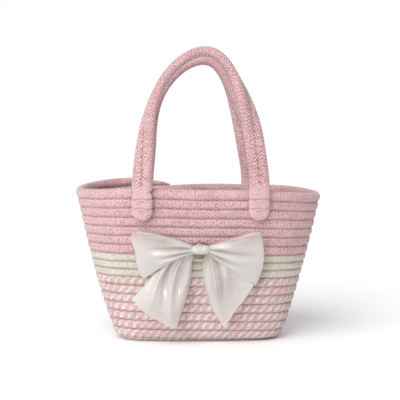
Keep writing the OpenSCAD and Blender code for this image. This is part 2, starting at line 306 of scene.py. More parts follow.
def sweep(name, centre, a, b, x, y, along, closed=False, values=None, sewing=None):
    """A tube whose ring points are centre + x a + y b. along is the U coordinate of each ring, and
    sewing holds the two stitch phases of each ring, which become a second UV map."""
    rows, sides = x.shape
    points = centre[:, None] + x[..., None] * a[:, None] + y[..., None] * b[:, None]
    quads, i, j = tube_faces(rows, sides, closed)
    ahead = np.append(along[1:], along[-1] + (along[-1] - along[-2]))
    u = np.stack([along[i], along[i], ahead[i], ahead[i]], -1)
    v = np.stack([j, j + 1, j + 1, j], -1) / sides
    obj = new_mesh(name, points.reshape(-1, 3), quads, np.stack([u, v], -1).reshape(-1, 2), values)
    if sewing is not None:
        first, second = sewing[i], sewing[(i + 1) % rows]
        phases = np.stack([first, first, second, second], -2)
        layer = obj.data.uv_layers.new(name="sewing")
        layer.data.foreach_set("uv", phases.astype(np.float32).ravel())
    if not closed:
        close_ends(obj, rows, sides)
    return obj


def close_ends(obj, rows, sides):
    """A flat cap on each end of a tube."""
    work = bmesh.new()
    work.from_mesh(obj.data)
    work.verts.ensure_lookup_table()
    for first in (0, (rows - 1) * sides):
        work.faces.new([work.verts[first + j] for j in range(sides)])
    bmesh.ops.recalc_face_normals(work, faces=work.faces)
    work.to_mesh(obj.data)
    work.free()


def threads(name, lines, radius, colours=None):
    """Many short thin tubes in one mesh. Each line is a list of points; its ends dip into the rope."""
    sides = 4
    guide = np.array([0.31, 0.57, 0.76])  # a direction that no thread runs along
    points, quads, tints, base = [], [], [], 0
    angle = 2 * np.pi * np.arange(sides) / sides
    for n, line in enumerate(lines):
        line = np.asarray(line)
        direction = np.gradient(line, axis=0)
        direction /= np.linalg.norm(direction, axis=1)[:, None] + 1e-12
        a = np.cross(direction, guide)
        a /= np.linalg.norm(a, axis=1)[:, None] + 1e-12
        b = np.cross(direction, a)
        across = np.cos(angle)[None, :, None] * a[:, None] + np.sin(angle)[None, :, None] * b[:, None]
        ring = line[:, None] + radius * across
        points.append(ring.reshape(-1, 3))
        faces, _, _ = tube_faces(len(line), sides, False)
        quads.append(faces + base)
        base += len(line) * sides
        tints.append(np.full(len(line) * sides, 0.0 if colours is None else colours[n]))
    return new_mesh(name, np.concatenate(points), np.concatenate(quads), None,
                    {"tint": np.concatenate(tints)})


# ---- The coiled rope ----

STITCH = 7.6 * MM  # distance between needle holes in one row
# How far needle holes are from a course's middle, as a share of its half height
HOLE_BELOW = 0.72
HOLE_ABOVE = 0.38
HOLE_SIZE = 0.8 * MM
HOLE_SINE = 0.17  # spread of a needle hole round the rope, as a change of the angle's sine
HOLE_DEPTH = 0.6 * MM
KNIT = 3.3 * MM  # length of one rib of the knitted cord
ROPE_LAY = 14 * MM  # length of plain rope to one unit of its UV map
PLAIN_STRANDS = 3
MIXED_LAY = 22 * MM  # length in which the two-colour rope's strands turn once
MIXED_STRANDS = 6
SECTION = 2.5  # roundness of the rope's section: 2 is round, more is squarer
SQUEEZE = 1.015  # courses are pressed into each other by this much
WOBBLE = 0.12 * MM  # unevenness of the rope's section
CUT_END = 3 * MM  # length over which a cut rope's end is rounded off
RIM_END = 40 * MM  # the same for the end that lies on the rim
THREAD_OUTSIDE = 0.34 * MM  # radius
THREAD_INSIDE = 0.27 * MM
THREAD_HEIGHT = 0.12 * MM  # of a stitch's middle line over the rope
GROOVE_SAG = 1.3 * MM  # deepest that a stitch sinks into the groove between two courses
NEEDLE_DIP = 1.0 * MM  # how deep a stitch's ends go into the rope
WHOLE_ROPE = coil(FIRST_TURN, LAST_TURN + 1, 1 * MM)


def rope_at(turns):
    """Centre and outward direction of the rope at any turns."""
    made = []
    for key in ("centre", "out"):
        columns = WHOLE_ROPE[key].T
        made.append(np.stack([np.interp(turns, WHOLE_ROPE["turn"], column) for column in columns], -1))
    return made


def stitch_count(turn):
    return np.interp(turn, WHOLE_ROPE["turn"], WHOLE_ROPE["length"]) / STITCH


def turn_of_stitch(count):
    return np.interp(count * STITCH, WHOLE_ROPE["length"], WHOLE_ROPE["turn"])


def rounded(angle, power):
    """Cosine and sine of a rounded rectangle instead of a circle."""
    c, s = np.cos(angle), np.sin(angle)
    return np.sign(c) * np.abs(c) ** (2 / power), np.sign(s) * np.abs(s) ** (2 / power)


def rope_surface(path, sides):
    """Half sizes of the rope at every ring point: x is outward and y is up the wall."""
    angle = 2 * np.pi * np.arange(sides) / sides
    c, s = rounded(angle, SECTION)
    x = HALF_THICK * np.repeat(c[None], len(path["turn"]), 0)
    y = (path["half"] * SQUEEZE)[:, None] * s[None]
    return angle, x, y


def sewing_phases(turn):
    """Stitch counts at a place on the rope: of the seam to the course below, and to the one above."""
    below = stitch_count(turn)
    above = np.where(turn < LAST_TURN - 1, stitch_count(turn + 1), 0)
    return np.stack([below, above], -1)


def needle_holes(phases, angle):
    """How deep each ring point lies in a needle hole, from 0 to 1."""
    holes = 0
    for column, lift, first in ((0, -HOLE_BELOW, 0.5), (1, HOLE_ABOVE, 0.0)):
        gap = (phases[:, column] + first) % 1 - 0.5
        near = bell(gap * STITCH, HOLE_SIZE)
        sine = np.sign(lift) * abs(lift) ** (SECTION / 2)
        height = bell(np.sin(angle) - sine, HOLE_SINE)
        holes = holes + near[:, None] * height[None]
    return np.clip(holes, 0, 1)


def taper(path, start, end):
    """Shrinks the rope's ends to a small tip, over the lengths given."""
    s = path["length"]
    from_start = np.sqrt(np.clip(s / start, 0.02, 1))
    from_end = np.sqrt(np.clip((s[-1] - s) / end, 0.02, 1))
    return np.minimum(from_start, from_end)


def wall_rope(name, turns, step, sides, strands, lay, relief, end):
    """The rope between two turns. relief is how far its strands stand out, and end how it tapers off."""
    path = coil(*turns, step)
    angle, x, y = rope_surface(path, sides)
    twist = strands * (angle[None] / (2 * np.pi) + path["length"][:, None] / lay)
    bump = np.abs(np.sin(np.pi * twist)) ** 0.6 - 0.7
    phases = sewing_phases(path["turn"])
    wobble = WOBBLE * np.sin(path["length"] * 190)[:, None] * np.cos(3 * angle)[None]
    push = relief * bump - HOLE_DEPTH * needle_holes(phases, angle) + wobble
    thinner = taper(path, CUT_END, end)[:, None]
    scale = (1 + push / np.hypot(x, y)) * thinner
    centre = path["centre"] - path["up"] * (1 - thinner) * path["half"][:, None]
    return sweep(name, centre, path["out"], path["up"], x * scale, y * scale, path["length"] / lay,
                 sewing=phases)


def zigzag(side, from_turn, to_turn):
    """Zigzag stitches over the groove between each course and the one below it."""
    first = math.ceil(2 * stitch_count(from_turn))
    last = math.floor(2 * stitch_count(to_turn))
    half_stitch = np.arange(first, last)
    t = np.linspace(0, 1, 7)
    turns = turn_of_stitch((half_stitch[:, None] + t[None]) / 2)
    (upper, upper_out), (lower, lower_out) = rope_at(turns), rope_at(turns - 1)
    share = np.where(half_stitch[:, None] % 2 == 0, t[None], 1 - t[None])[..., None]
    down = (HOLE_BELOW * (1 - share) + (2 - HOLE_ABOVE) * share) / 2
    place = upper * (1 - down) + lower * down
    out = upper_out * (1 - down) + lower_out * down
    from_crest = 2 * np.minimum(down, 1 - down)
    surface = HALF_THICK * (1 - from_crest**SECTION) ** (1 / SECTION) + THREAD_HEIGHT
    lift = np.maximum(surface, HALF_THICK - GROOVE_SAG)
    lift = np.where((share == 0) | (share == 1), surface - NEEDLE_DIP, lift)
    return place + side * lift * out, turns[:, 0]


# ---- Materials ----

# Linear colours
PINK = (0.70, 0.475, 0.485)
PINK_DARK = (0.34, 0.165, 0.175)
CREAM = (0.62, 0.58, 0.51)
CREAM_DARK = (0.42, 0.37, 0.30)
MIXED_PINK = (0.65, 0.405, 0.43)
WHITE = (0.68, 0.66, 0.615)
HANDLE_PINK = (0.71, 0.47, 0.48)
HANDLE_DARK = (0.27, 0.13, 0.14)
THREAD_PINK = (0.74, 0.52, 0.53)
THREAD_WHITE = (0.8, 0.79, 0.77)
RIBBON = (0.78, 0.762, 0.735)
RIBBON_DARK = (0.70, 0.682, 0.655)
# warm painted shade for the hollows of the ribbon's folds
RIBBON_CREASE_SHADE = (0.55, 0.46, 0.40)
BRASS = (0.40, 0.32, 0.225)
BRASS_DARK = (0.18, 0.14, 0.095)
NICKEL = (0.62, 0.61, 0.58)
NICKEL_DARK = (0.45, 0.44, 0.42)
MAGNET = (0.08, 0.08, 0.09)
MAGNET_DARK = (0.03, 0.03, 0.03)
PAPER = (0.95, 0.95, 0.95)
PAPER_DARK = (0.93, 0.93, 0.93)
WHITE_LIGHT = (1, 1, 1, 1)

# Greatest heights of the surfaces' fine relief
FLUFF_HEIGHT = 0.4 * MM
THREAD_RELIEF = 0.1 * MM
METAL_RELIEF = 0.05 * MM
WEAVE_RELIEF = 0.06 * MM


class Surface:
    """A material in the making: one method for each kind of node that it uses."""

    def __init__(self, name):
        self.material = bpy.data.materials.new(name)
        self.material.use_nodes = True
        self.tree = self.material.node_tree
        self.tree.nodes.clear()
        self.output = self.node("ShaderNodeOutputMaterial")
        self.shader = self.node("ShaderNodeBsdfPrincipled")
        self.link(self.shader.outputs[0], self.output.inputs[0])

    def node(self, kind, **settings):
        made = self.tree.nodes.new(kind)
        for key, value in settings.items():
            setattr(made, key, value)
        return made

    def link(self, source, socket):
        self.tree.links.new(source, socket)

    def feed(self, socket, value):
        if isinstance(value, (int, float)):
            socket.default_value = value
        elif isinstance(value, tuple):
            socket.default_value = (*value, 1)
        else:
            self.link(value, socket)

    def set(self, **sockets):
        for name, value in sockets.items():
            self.shader.inputs[name.replace("_", " ")].default_value = value

    def math(self, operation, a, b=0.0, clamp=False):
        made = self.node("ShaderNodeMath", operation=operation, use_clamp=clamp)
        self.feed(made.inputs[0], a)
        self.feed(made.inputs[1], b)
        return made.outputs[0]

    def times(self, a, b):
        return self.math("MULTIPLY", a, b)

    def chain(self, value, *steps):
        """Applies operations in turn, each given as a name and a number."""
        for operation, number in steps:
            value = self.math(operation, value, number)
        return value

    def total(self, *parts):
        """Sum of values, each given with its weight."""
        whole = self.times(*parts[0])
        for value, weight in parts[1:]:
            whole = self.math("ADD", whole, self.times(value, weight))
        return whole

    def step(self, value, low, high):
        """0 below low, 1 above high and smooth between them."""
        made = self.node("ShaderNodeMapRange", interpolation_type="SMOOTHSTEP")
        self.feed(made.inputs[0], value)
        made.inputs[1].default_value = low
        made.inputs[2].default_value = high
        return made.outputs[0]

    def noise(self, scale, detail=3, rough=0.6, stretch=(1, 1, 1)):
        place = self.node("ShaderNodeTexCoord")
        mapping = self.node("ShaderNodeMapping")
        mapping.inputs["Scale"].default_value = stretch
        self.link(place.outputs["Object"], mapping.inputs[0])
        texture = self.node("ShaderNodeTexNoise")
        texture.inputs["Scale"].default_value = scale
        texture.inputs["Detail"].default_value = detail
        texture.inputs["Roughness"].default_value = rough
        self.link(mapping.outputs[0], texture.inputs["Vector"])
        return texture.outputs["Fac"]

    def mix(self, factor, a, b, blend="MIX"):
        made = self.node("ShaderNodeMix", data_type="RGBA", blend_type=blend)
        self.feed(made.inputs[0], factor)
        self.feed(made.inputs[6], a)
        self.feed(made.inputs[7], b)
        return made.outputs[2]

    def cover(self, colour, where, strength, over):
        return self.mix(self.times(where, strength), colour, over)

    def mix_shaders(self, factor, a, b):
        made = self.node("ShaderNodeMixShader")
        self.feed(made.inputs[0], factor)
        self.link(a, made.inputs[1])
        self.link(b, made.inputs[2])
        return made.outputs[0]

    def paint(self, colour):
        self.link(colour, self.shader.inputs["Base Color"])

    def attribute(self, name):
        return self.node("ShaderNodeAttribute", attribute_name=name).outputs["Fac"]

    def uv(self, name):
        split = self.node("ShaderNodeSeparateXYZ")
        self.link(self.node("ShaderNodeUVMap", uv_map=name).outputs[0], split.inputs[0])
        return split.outputs[0], split.outputs[1]

    def bump(self, height, strength, distance):
        made = self.node("ShaderNodeBump")
        made.inputs["Strength"].default_value = strength
        made.inputs["Distance"].default_value = distance
        self.link(height, made.inputs["Height"])
        self.link(made.outputs[0], self.shader.inputs["Normal"])


def shade(colour, *factors):
    return tuple(c * f for c, f in zip(colour, factors))


# Distances at which a stitch line (in half heights) and a needle hole (in millimetres) fade in
LINE_EDGE = (0.36, 0.08)
HOLE_EDGE = (1.15, 0.35)


def sewing_marks(surface):
    """Where zigzag stitches press into a course of rope: (stitch line, needle hole), each 0 to 1."""
    low_phase, high_phase = surface.uv("sewing")
    _, around = surface.uv("rope")
    sine = surface.math("SINE", surface.times(around, 2 * math.pi))
    size = surface.math("POWER", surface.math("ABSOLUTE", sine), 2 / SECTION)
    lift = surface.times(size, surface.math("SIGN", sine))
    lines, holes = [], []
    slope = 2 * (2 - HOLE_ABOVE - HOLE_BELOW)
    for phase, side, place, first in ((low_phase, -1, HOLE_BELOW, 0.5), (high_phase, 1, HOLE_ABOVE, 0.0)):
        part = surface.math("FRACT", surface.math("ADD", phase, first))
        gap = surface.math("ABSOLUTE", surface.math("SUBTRACT", part, 0.5))
        own_lift = surface.times(lift, side)
        reach = surface.chain(gap, ("MULTIPLY", slope), ("ADD", place))
        lines.append(surface.math("ABSOLUTE", surface.math("SUBTRACT", own_lift, reach)))
        near = surface.chain(gap, ("MULTIPLY", STITCH / MM), ("POWER", 2.0))
        high = surface.chain(own_lift, ("SUBTRACT", place), ("MULTIPLY", HALF_ROPE / MM), ("POWER", 2.0))
        holes.append(surface.math("SQRT", surface.math("ADD", near, high)))
    line = surface.math("MINIMUM", *lines)
    hole = surface.math("MINIMUM", *holes)
    return surface.step(line, *LINE_EDGE), surface.step(hole, *HOLE_EDGE)


def fluff(surface):
    """Uneven tone of brushed cotton yarn: fine specks over soft clouds."""
    fine = surface.noise(1100, 3, 0.7)
    coarse = surface.noise(640, 2, 0.6)
    cloud = surface.noise(60, 2, 0.5)
    tone = surface.total((fine, 0.9), (coarse, 1.1), (cloud, 0.3))
    middle = 1.0
    contrast = 3.4
    return surface.math("MULTIPLY", surface.math("SUBTRACT", tone, middle), contrast, True), fine


def cotton_finish(surface):
    surface.set(Roughness=0.9, Specular_IOR_Level=0.2, Sheen_Weight=0.3, Sheen_Roughness=0.55)


KNIT_SLANT = 11.5  # ribs that the herringbone's slant crosses in one turn round the rope
KNIT_WAVER = 0.9
SEWN_RELIEF = 0.9  # depth of a stitch line, where the height of the yarn's own fluff is 1
PIT_RELIEF = 1.6


def knitted(surface, along, around):
    """Herringbone of a knitted cord: fine ribs that change their slant at the middle."""
    slant = surface.math("PINGPONG", around, 0.125)
    waver = surface.noise(240, 2, 0.6)
    rib = surface.total((along, ROPE_LAY / KNIT), (slant, KNIT_SLANT), (waver, KNIT_WAVER))
    return surface.chain(rib, ("MULTIPLY", 2 * math.pi), ("SINE", 0), ("MULTIPLY", 0.5), ("ADD", 0.5))


def cotton(name, light, dark, sewn, knit, hole_shade):
    """Knitted cotton rope. knit is how strongly its ribs show, as bump and as painted shade in their
    hollows, and the last argument is how dark the painted shade in its needle holes is; sewn rope also
    shows where the zigzag presses into it, and handle rope is coloured paler and more even on its sewn-on
    ends."""
    surface = Surface(name)
    along, around = surface.uv("rope")
    rib = knitted(surface, along, around)
    tone, fine = fluff(surface)
    # The colour follows the ribs: painted shade in their hollows, where the bump sinks.
    colour = surface.mix(surface.total((tone, 1 - knit), (rib, knit)), dark, light)
    relief = [(rib, 0.3 + knit), (fine, 1.0)]
    if sewn:
        line, hole = sewing_marks(surface)
        colour = surface.cover(colour, line, 0.25, light)
        relief.append((line, -SEWN_RELIEF))
    else:
        hole = surface.attribute("hole")
        # paler, more even colour on the sewn-on ends
        colour = surface.cover(colour, surface.attribute("on_tab"), 0.55, shade(light, 0.9, 0.9, 0.9))
    # painted shade in the needle holes, and on handles also in the lines the courses press into the tabs
    surface.paint(surface.cover(colour, hole, hole_shade, shade(dark, 0.55, 0.40, 0.42)))
    cotton_finish(surface)
    surface.bump(surface.total(*relief, (hole, -PIT_RELIEF)), 0.7, FLUFF_HEIGHT)
    return surface.material


# Distances from the middle of a pink strand, whose width is 1 with its white neighbour's: where it turns
# white, and how wide the shadow between two strands is
STRAND_EDGE = (0.215, 0.275)
STRAND_GROOVE = 0.055
YARNS = 8  # to a pair of strands


def two_colour_rope(name, pink, white):
    """Rope of strands, pink and white in turn, that wind round it."""
    surface = Surface(name)
    along, around = surface.uv("rope")
    twist = surface.times(surface.math("ADD", around, along), MIXED_STRANDS / 2)
    tone, fine = fluff(surface)
    part = surface.math("FRACT", surface.total((twist, 1.0), (surface.noise(330, 2, 0.6), 0.5)))
    edge = surface.math("ABSOLUTE", surface.math("SUBTRACT", part, 0.5))
    is_white = surface.step(edge, *STRAND_EDGE)
    pink_side = surface.mix(tone, shade(pink, 0.74, 0.60, 0.62), pink)
    white_side = surface.mix(tone, shade(white, 0.68, 0.64, 0.58), white)
    colour = surface.mix(is_white, pink_side, white_side)
    to_edge = surface.chain(part, ("ADD", 0.25), ("PINGPONG", 0.25))
    groove = surface.step(to_edge, STRAND_GROOVE, 0.0)
    colour = surface.cover(colour, groove, 0.35, shade(pink, 0.5, 0.42, 0.44))
    line, hole = sewing_marks(surface)
    # painted shade along the stitch line pressed into the rope
    colour = surface.cover(colour, line, 0.18, shade(white, 0.85, 0.75, 0.74))
    # painted shade in the needle holes
    surface.paint(surface.cover(colour, hole, 0.30, shade(pink, 0.42, 0.36, 0.36)))
    cotton_finish(surface)
    yarn = surface.math("SINE", surface.times(twist, YARNS * 2 * math.pi))
    surface.bump(surface.total((yarn, 0.25), (fine, 1.0), (line, -0.8), (hole, -1.4)), 0.6, FLUFF_HEIGHT)
    return surface.material


def thread_material(name, colour, other):
    """Sewing thread: twisted, slightly glossy; tint picks between two colours."""
    surface = Surface(name)
    fibre = surface.noise(2200, 2, 0.6)
    base = surface.mix(surface.attribute("tint"), colour, other)
    surface.paint(surface.cover(base, fibre, 0.5, shade(colour, 0.6, 0.5, 0.5)))
    surface.set(Roughness=0.55)
    surface.bump(fibre, 0.3, THREAD_RELIEF)
    return surface.material


def dress(obj, mat):
    obj.data.materials.clear()
    obj.data.materials.append(mat)


def build_wall():
    pink = wall_rope("pink_rope", (CREAM_COURSES, END_TURN), 1.15 * MM, 24, PLAIN_STRANDS, ROPE_LAY,
                     0.1 * MM, RIM_END)
    cream = wall_rope("cream_rope", (0, CREAM_COURSES), 1.1 * MM, 24, PLAIN_STRANDS, ROPE_LAY,
                      0.12 * MM, CUT_END)
    mixed = wall_rope("mixed_rope", (FIRST_TURN, 0), 1.2 * MM, 32, MIXED_STRANDS, MIXED_LAY,
                      0.42 * MM, CUT_END)
    dress(pink, cotton("pink_cotton", PINK, PINK_DARK, True, 0.45, 0.5))
    dress(cream, cotton("cream_cotton", CREAM, CREAM_DARK, True, 0.4, 0.2))
    dress(mixed, two_colour_rope("two_colour_cotton", MIXED_PINK, WHITE))
    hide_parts("pink_rope_wall")
    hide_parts("cream_rope_wall")
    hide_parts("mixed_rope_wall", "base_coil")
    for obj in (pink, cream, mixed):
        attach(obj, "basket")
    last_stitch = LAST_TURN - 0.01
    outside, turns = zigzag(1, FIRST_TURN + 2.2, last_stitch)
    inside, _ = zigzag(-1, FIRST_TURN + 1.2, last_stitch)
    cream_thread = [1.0 if 0.5 < turn < CREAM_COURSES - 0.2 else 0.0 for turn in turns]
    sewn = threads("seam_stitches_outside", outside, THREAD_OUTSIDE, cream_thread)
    sewn_in = threads("seam_stitches_inside", inside, THREAD_INSIDE)
    thread = thread_material("pink_thread", THREAD_PINK, CREAM)
    for obj in (sewn, sewn_in):
        dress(obj, thread)
        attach(obj, "basket")
    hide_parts("seam_thread")


# ---- Handles ----


HANDLE_ROWS = 400  # of an arch's line
TAB_ROWS = 60  # of a sewn-on end's line
# How far each arch's top leans towards the other handle and to the right, and how wide its shoulders are
ARCH = {"front": (6 * MM, 4 * MM, 0.045), "back": (-16 * MM, 7 * MM, 0.01)}
SWAY = 1.8 * MM  # how far the legs bend to the left half way up
LEG_TURN = math.radians(5.8)  # how far each leg is turned to lie on the curved wall
TURN_FROM = 18 * MM  # height over the hinge from which the band turns its face up
TURN_GROWS = 94 * MM
SIDE_OFFSET = 14 * MM  # the turn comes this much later on the right leg and sooner on the left
LEG_GAP = 0.95 * MM  # between the hinge's line and the front of a leg's strand
# The handle is free of the wall from FREE_BELOW under the hinge, wholly so FREE_GROWS higher
FREE_BELOW = 4 * MM
FREE_GROWS = 14 * MM
BEND_POINTS = 20  # on the bend between a handle's two strands at each tab
HANDLE_STITCH = 6.8 * MM  # between needle pits along a strand
PIT_SIZE = 0.9 * MM
PIT_DEPTH = 0.8 * MM
KNIT_DEPTH = 0.3 * MM
PRESS_SIZE = 0.75 * MM  # of the lines that the courses' grooves press into the tabs
PRESS_DEPTH = 1.2 * MM
BAND_STITCH = 3.4 * MM  # between the points of the zigzag on the band
BAND_THREAD = 0.3 * MM
BAND_DIP = 0.6 * MM


def wall_y(x, z):
    """Depth of the front wall's outer crest line at a place on the long side."""
    radius, _, _ = cut_point(run_at(z))
    return -(radius + BULGE * (1 - (x / CENTRE_X) ** 2) + HALF_ROPE / math.cos(TILT))


def arch_width(sin, cos, shoulder):
    """How much wider or narrower than an ellipse the arch is."""
    return 1 - 0.035 * smoothstep(sin / 0.35) + shoulder * (2 * sin * cos) ** 2


def band_line(prefix, back):
    """Centre line, width direction and face direction of a handle's band, tab to tab."""
    _, top = corners(prefix + "_handle_outer_strand")
    tab_low, tab_high = corners(prefix + "_right_tab")
    hinge = joint_point(prefix + "_handle_swing")
    strand = (tab_high[0] - tab_low[0]) / 4
    half_span = (tab_high[0] + tab_low[0]) / 2
    rise = top[2] - strand - hinge[2]
    leg_y = abs(hinge[1]) - strand - LEG_GAP

    t = np.linspace(0, math.pi, HANDLE_ROWS)
    sin, cos = np.sin(t), np.cos(t)
    lean, skew, shoulder = ARCH[prefix]
    sway = SWAY * (2 * sin * cos) ** 2
    x = half_span * cos * arch_width(sin, cos, shoulder) + skew * sin**6 - sway
    arch = np.stack([x, -leg_y + lean * sin**2, hinge[2] + rise * sin], 1)
    height = rise * sin - SIDE_OFFSET * cos
    turn = LEG_TURN + (math.pi / 2 - LEG_TURN) * smoothstep((height - TURN_FROM) / TURN_GROWS)
    outward = unit(np.stack([rise * cos, 0 * cos, half_span * sin], 1))
    depth = np.array([0, 1.0, 0])
    width = np.cos(turn)[:, None] * outward + np.sin(turn)[:, None] * depth
    face = np.sin(turn)[:, None] * outward - np.cos(turn)[:, None] * depth

    tab_z = np.linspace(tab_low[2] + 2 * strand, hinge[2] - 4 * MM, TAB_ROWS)
    rest = wall_y(half_span, tab_z) - 0.92 * strand
    tab = np.stack([np.full(TAB_ROWS, half_span), rest, tab_z], 1)
    tab_width = np.array([math.cos(LEG_TURN), math.sin(LEG_TURN), 0])
    tab_face = np.array([math.sin(LEG_TURN), -math.cos(LEG_TURN), -math.tan(TILT)])
    tab_face /= np.linalg.norm(tab_face)
    mirror = np.array([-1.0, 1, 1])
    centre = np.concatenate([tab, arch, tab[::-1] * mirror])
    width = around_tabs(tab_width, width, -tab_width * mirror)
    face = around_tabs(tab_face, face, tab_face * mirror)
    if back:
        flip = np.array([1.0, -1, 1])
        centre, width, face = centre * flip, width * flip, face * flip
    return centre, width, face, strand


def around_tabs(right, arch, left):
    return np.concatenate([np.tile(right, (TAB_ROWS, 1)), arch, np.tile(left, (TAB_ROWS, 1))])


def build_handle(prefix, back):
    """Both strands of a handle and their sewn-on ends, as one closed loop of rope."""
    centre, width, face, strand = band_line(prefix, back)
    _, line = resample(centre, 1 * MM, width, face)
    centre, width, face = [soften(points, 13) for points in line]
    gap = strand * (0.86 + 0.08 * freedom(prefix, centre))
    rails = [centre + width * gap[:, None], centre - width * gap[:, None]]
    down, down_far = unit(np.stack([centre[0] - centre[8], centre[-1] - centre[-9]]))
    bend = np.linspace(0, math.pi, BEND_POINTS + 2)[1:-1]
    c, s = np.cos(bend)[:, None], np.sin(bend)[:, None]
    far = centre[-1] + gap[-1] * (c * width[-1] + s * down_far)
    near = centre[0] + gap[0] * (-c * width[0] + s * down)
    loop = np.concatenate([rails[0], far, rails[1][::-1], near])
    ends = [np.tile(face[row], (BEND_POINTS, 1)) for row in (-1, 0)]
    faces = np.concatenate([face, ends[0], face[::-1], ends[1]])
    loop = np.concatenate([loop, loop[:1]])
    faces = np.concatenate([faces, faces[:1]])
    along, (loop, faces) = resample(loop, 0.62 * MM, faces)
    loop, faces, along = loop[:-1], faces[:-1], along[:-1]
    tangent = unit(np.roll(loop, -1, 0) - np.roll(loop, 1, 0))
    side = unit(np.cross(tangent, faces))
    faces = np.cross(side, tangent)

    free = freedom(prefix, loop)[:, None]
    angle, to_seam, x, y = handle_section(strand, free, seam_side(loop, side, centre))
    pits, crease = handle_marks(loop, along, angle, to_seam, free)
    knit = along[:, None] / KNIT + 1.45 * np.abs((4 * angle / (2 * np.pi)) % 1 - 0.5)[None]
    push = KNIT_DEPTH * np.sin(2 * np.pi * knit) * (0.35 + 0.65 * free)
    push = push - PIT_DEPTH * pits - PRESS_DEPTH * crease
    scale = 1 + push / np.hypot(x, y)
    # also sets the painted shade in the pits and pressed lines
    hole = np.clip(0.9 * pits + 0.55 * crease, 0, 1)
    name = prefix + "_handle_rope"
    obj = sweep(name, loop, side, faces, x * scale, y * scale, along / ROPE_LAY, True,
                {"hole": hole, "on_tab": np.broadcast_to(1 - free, hole.shape)})
    return obj, centre, width, face, strand


def freedom(prefix, points):
    """0 on the sewn-on ends and 1 on the free part of the handle."""
    hinge_z = joint_point(prefix + "_handle_swing")[2]
    return smoothstep((points[:, 2] - hinge_z + FREE_BELOW) / FREE_GROWS)


def handle_section(strand, free, seam):
    """Angles round a strand, how far each faces the band's seam, and the strand's half sizes there:
    rounded outside, and squarer where it is pressed against its neighbour."""
    sides = 28
    angle = 2 * np.pi * np.arange(sides) / sides
    to_seam = np.cos(angle)[None] * seam
    flat = smoothstep((to_seam + 0.1) / 0.7)
    c, s = rounded(angle, 2.2)
    c_flat, s_flat = rounded(angle, 4.6)
    x = strand * (1.24 - 0.20 * free) * (c * (1 - flat) + c_flat * flat)
    y = strand * (0.86 + 0.06 * free) * (s * (1 - flat) + s_flat * flat)
    return angle, to_seam, x, y


def handle_marks(loop, along, angle, to_seam, free):
    """Needle pits along the seam, and the lines pressed into the tabs by the wall's top courses."""
    phase = (along / HANDLE_STITCH + 0.5) % 1 - 0.5
    pits = bell(phase * HANDLE_STITCH, PIT_SIZE)[:, None] * bell(to_seam - 0.62, 0.2) * free
    heights = [RIM_Z - k * (RIM_Z - PINK_Z) / PINK_COURSES for k in (1, 2)]
    crease = sum(bell(loop[:, 2] - height, PRESS_SIZE) for height in heights)[:, None]
    return pits, crease * (0.35 + 0.65 * np.abs(np.sin(angle)))


def seam_side(loop, side, centre):
    """+1 where a ring's side direction points to the seam in the middle of the band, else -1."""
    nearest = np.array([centre[np.argmin(((centre - p) ** 2).sum(1))] for p in loop])
    return np.sign(((nearest - loop) * side).sum(1))[:, None]


def ride_handle(obj):
    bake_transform(obj)


def build_handles():
    cotton_handle = cotton("handle_cotton", HANDLE_PINK, HANDLE_DARK, False, 0.55, 0.75)
    for prefix, back in (("front", False), ("back", True)):
        obj, *band = build_handle(prefix, back)
        dress(obj, cotton_handle)
        ride_handle(obj)
        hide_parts(prefix + "_handle_inner_strand", prefix + "_handle_outer_strand",
                    prefix + "_left_tab", prefix + "_right_tab")
        build_handle_thread(prefix, *band)


def build_handle_thread(prefix, centre, width, face, strand):
    """Zigzag thread on both faces of the band, between its two strands."""
    length, (c, w, f) = resample(centre, BAND_STITCH, width, face)
    lines = []
    for side in (1, -1):
        for i in range(len(length) - 1):
            first, last = (1, -1) if i % 2 else (-1, 1)
            line = []
            for t in np.linspace(0, 1, 6):
                mid = c[i] * (1 - t) + c[i + 1] * t
                across = w[i] * (1 - t) + w[i + 1] * t
                out = f[i] * (1 - t) + f[i + 1] * t
                reach = first * (1 - t) + last * t
                lift = strand * (0.62 + 0.26 * abs(reach))
                if t in (0.0, 1.0):
                    lift -= BAND_DIP
                line.append(mid + reach * strand * 0.45 * across + side * lift * out)
            lines.append(line)
    obj = threads(prefix + "_handle_stitches", lines, BAND_THREAD)
    dress(obj, thread_material(prefix + "_handle_thread_cotton", PINK, CREAM))
    ride_handle(obj)
    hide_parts(prefix + "_handle_thread")


# ---- Bow ----

KNOT_LOW, KNOT_HIGH = corners("bow_knot")
KNOT = (KNOT_LOW + KNOT_HIGH) / 2
BOW_RISE = 1.2 * MM  # how far the ribbon's middle sits above the middle of the knot's band


def plain(node_name, mat):
    dress(frame["nodes"][node_name], mat)


def metal(name, colour, dark, rough):
    """Cast and plated metal with stains and uneven gloss."""
    surface = Surface(name)
    stain = surface.noise(260, 4, 0.6)
    surface.paint(surface.mix(stain, dark, colour))
    surface.set(Metallic=1.0)
    level = surface.math("ADD", surface.times(stain, 0.25), rough)
    surface.link(level, surface.shader.inputs["Roughness"])
    surface.bump(surface.noise(1500, 3, 0.6), 0.1, METAL_RELIEF)
    return surface.material


SATIN_THROUGH = 0.42  # share of the light that the ribbon scatters through itself


